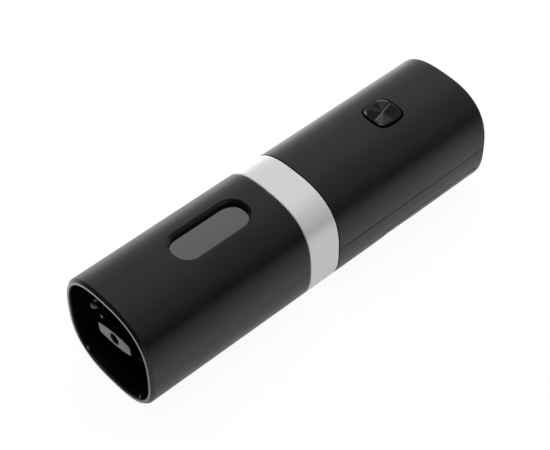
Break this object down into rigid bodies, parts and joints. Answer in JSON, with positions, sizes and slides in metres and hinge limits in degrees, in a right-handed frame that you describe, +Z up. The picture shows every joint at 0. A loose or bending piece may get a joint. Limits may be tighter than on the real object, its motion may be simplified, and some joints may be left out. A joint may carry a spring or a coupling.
{
  "type": "electric wine opener",
  "caption": "Cordless wine opener: square black body with an open bottle mouth, smoked window, steel band, round-cornered metal button and a battery door behind.",
  "frame": {"origin": "under the middle of the body, on the surface that its back rests on", "axes": "+X along the body from the mouth to the far end, +Y to the side, +Z up to the window and button side"},
  "size_m": [0.19, 0.054, 0.0545],
  "materials": {
    "black_shell": "satin black moulded plastic",
    "steel_band": "fine circumferential brushing",
    "button_metal": "spun, with concentric lines",
    "inner_black": "glossy black moulded plastic",
    "frame_black": "plain black moulded plastic",
    "eyelet_grey": "satin mid grey plastic",
    "window_smoke": "smoked clear plastic, polished",
    "lamp_clear": "clear lamp resin",
    "worm_steel": "polished steel wire",
    "gear_steel": "plain sintered steel",
    "gear_nylon": "natural nylon",
    "motor_steel": "zinc-plated drawn steel",
    "bronze": "sintered bronze",
    "contact_metal": "plated spring brass",
    "cell_jacket": "plain printed sleeve, no marks",
    "board_green": "solder mask",
    "part_black": "moulded component body",
    "capacitor_can": "sleeved can",
    "lead_red": "soft insulated lead",
    "lead_black": "soft insulated lead",
    "screw_steel": "zinc-plated screw"
  },
  "bodies": {
    "housing": {"lower_sleeve": "black_shell", "window_pane": "window_smoke", "neck_liner": "inner_black", "neck_lamp": "lamp_clear", "liner_screw_1": "screw_steel", "liner_screw_2": "screw_steel", "steel_band": "steel_band", "middle_frame": "frame_black", "worm_bush": "bronze", "ring_gear": "gear_steel", "motor_plate": "motor_steel", "motor_can": "motor_steel", "motor_cap": "gear_nylon", "front_shell": "black_shell", "back_shell": "black_shell", "case_screw_1": "screw_steel", "case_screw_2": "screw_steel", "case_screw_3": "screw_steel", "case_screw_4": "screw_steel", "circuit_board": "board_green", "button_switch": "part_black", "driver_chip": "part_black", "filter_capacitor": "capacitor_can", "motor_lead_1": "lead_red", "motor_lead_2": "lead_black", "battery_tray": "frame_black", "battery_cell_1": "cell_jacket", "battery_cell_2": "cell_jacket", "battery_cell_3": "cell_jacket", "battery_cell_4": "cell_jacket", "contact_positive": "contact_metal", "contact_upper_bridge": "contact_metal", "contact_near_bridge": "contact_metal", "contact_lower_bridge": "contact_metal", "contact_negative": "contact_metal"},
    "rotor": {"motor_rotor": "gear_steel"},
    "worm_drive": {"worm": "worm_steel", "planet_carrier_3": "gear_steel"},
    "carrier_1": {"planet_carrier_1": "gear_steel"},
    "carrier_2": {"planet_carrier_2": "gear_steel"},
    "planet_1_1": {"planet_gear_1_1": "gear_nylon"},
    "planet_1_2": {"planet_gear_1_2": "gear_nylon"},
    "planet_1_3": {"planet_gear_1_3": "gear_nylon"},
    "planet_2_1": {"planet_gear_2_1": "gear_nylon"},
    "planet_2_2": {"planet_gear_2_2": "gear_nylon"},
    "planet_2_3": {"planet_gear_2_3": "gear_nylon"},
    "planet_3_1": {"planet_gear_3_1": "gear_nylon"},
    "planet_3_2": {"planet_gear_3_2": "gear_nylon"},
    "planet_3_3": {"planet_gear_3_3": "gear_nylon"},
    "guide": {"eyelet_bar": "eyelet_grey", "guide_carriage": "inner_black"},
    "button": {"button_cap": "button_metal", "button_plunger": "frame_black"},
    "door": {"battery_door": "black_shell"}
  },
  "joints": [
    {"name": "motor_spin", "type": "hinge", "parent": "housing", "child": "rotor", "pos_m": [0.015, 0, 0.027], "axis": [1, 0, 0], "continuous": true},
    {"name": "carrier_1_spin", "type": "hinge", "parent": "housing", "child": "carrier_1", "pos_m": [-0.003, 0, 0.027], "axis": [1, 0, 0], "continuous": true},
    {"name": "carrier_2_spin", "type": "hinge", "parent": "housing", "child": "carrier_2", "pos_m": [-0.009, 0, 0.027], "axis": [1, 0, 0], "continuous": true},
    {"name": "worm_spin", "type": "hinge", "parent": "housing", "child": "worm_drive", "pos_m": [-0.035, 0, 0.027], "axis": [1, 0, 0], "continuous": true},
    {"name": "planet_1_1_spin", "type": "hinge", "parent": "carrier_1", "child": "planet_1_1", "pos_m": [0.0006, 0.0084, 0.027], "axis": [1, 0, 0], "continuous": true},
    {"name": "planet_1_2_spin", "type": "hinge", "parent": "carrier_1", "child": "planet_1_2", "pos_m": [0.0006, -0.0042, 0.03427], "axis": [1, 0, 0], "continuous": true},
    {"name": "planet_1_3_spin", "type": "hinge", "parent": "carrier_1", "child": "planet_1_3", "pos_m": [0.0006, -0.0042, 0.01973], "axis": [1, 0, 0], "continuous": true},
    {"name": "planet_2_1_spin", "type": "hinge", "parent": "carrier_2", "child": "planet_2_1", "pos_m": [-0.0054, 0.0084, 0.027], "axis": [1, 0, 0], "continuous": true},
    {"name": "planet_2_2_spin", "type": "hinge", "parent": "carrier_2", "child": "planet_2_2", "pos_m": [-0.0054, -0.0042, 0.03427], "axis": [1, 0, 0], "continuous": true},
    {"name": "planet_2_3_spin", "type": "hinge", "parent": "carrier_2", "child": "planet_2_3", "pos_m": [-0.0054, -0.0042, 0.01973], "axis": [1, 0, 0], "continuous": true},
    {"name": "planet_3_1_spin", "type": "hinge", "parent": "worm_drive", "child": "planet_3_1", "pos_m": [-0.0114, 0.0084, 0.027], "axis": [1, 0, 0], "continuous": true},
    {"name": "planet_3_2_spin", "type": "hinge", "parent": "worm_drive", "child": "planet_3_2", "pos_m": [-0.0114, -0.0042, 0.03427], "axis": [1, 0, 0], "continuous": true},
    {"name": "planet_3_3_spin", "type": "hinge", "parent": "worm_drive", "child": "planet_3_3", "pos_m": [-0.0114, -0.0042, 0.01973], "axis": [1, 0, 0], "continuous": true},
    {"name": "guide_slide", "type": "slide", "parent": "housing", "child": "guide", "axis": [1, 0, 0], "range_m": [0, 0.06]},
    {"name": "button_press", "type": "slide", "parent": "housing", "child": "button", "axis": [0, 0, -1], "range_m": [0, 0.001], "stiffness_N_per_m": 600, "springref_m": -0.0005},
    {"name": "door_hinge", "type": "hinge", "parent": "housing", "child": "door", "pos_m": [0.09085, 0, 0], "axis": [0, -1, 0], "range_deg": [0, 60]}
  ],
  "couplings": [
    {"joint": "carrier_1_spin", "follows": "motor_spin", "ratio": 0.25},
    {"joint": "carrier_2_spin", "follows": "motor_spin", "ratio": 0.0625},
    {"joint": "worm_spin", "follows": "motor_spin", "ratio": 0.015625},
    {"joint": "planet_1_1_spin", "follows": "motor_spin", "ratio": -0.75},
    {"joint": "planet_1_2_spin", "follows": "motor_spin", "ratio": -0.75},
    {"joint": "planet_1_3_spin", "follows": "motor_spin", "ratio": -0.75},
    {"joint": "planet_2_1_spin", "follows": "motor_spin", "ratio": -0.1875},
    {"joint": "planet_2_2_spin", "follows": "motor_spin", "ratio": -0.1875},
    {"joint": "planet_2_3_spin", "follows": "motor_spin", "ratio": -0.1875},
    {"joint": "planet_3_1_spin", "follows": "motor_spin", "ratio": -0.046875},
    {"joint": "planet_3_2_spin", "follows": "motor_spin", "ratio": -0.046875},
    {"joint": "planet_3_3_spin", "follows": "motor_spin", "ratio": -0.046875}
  ]
}
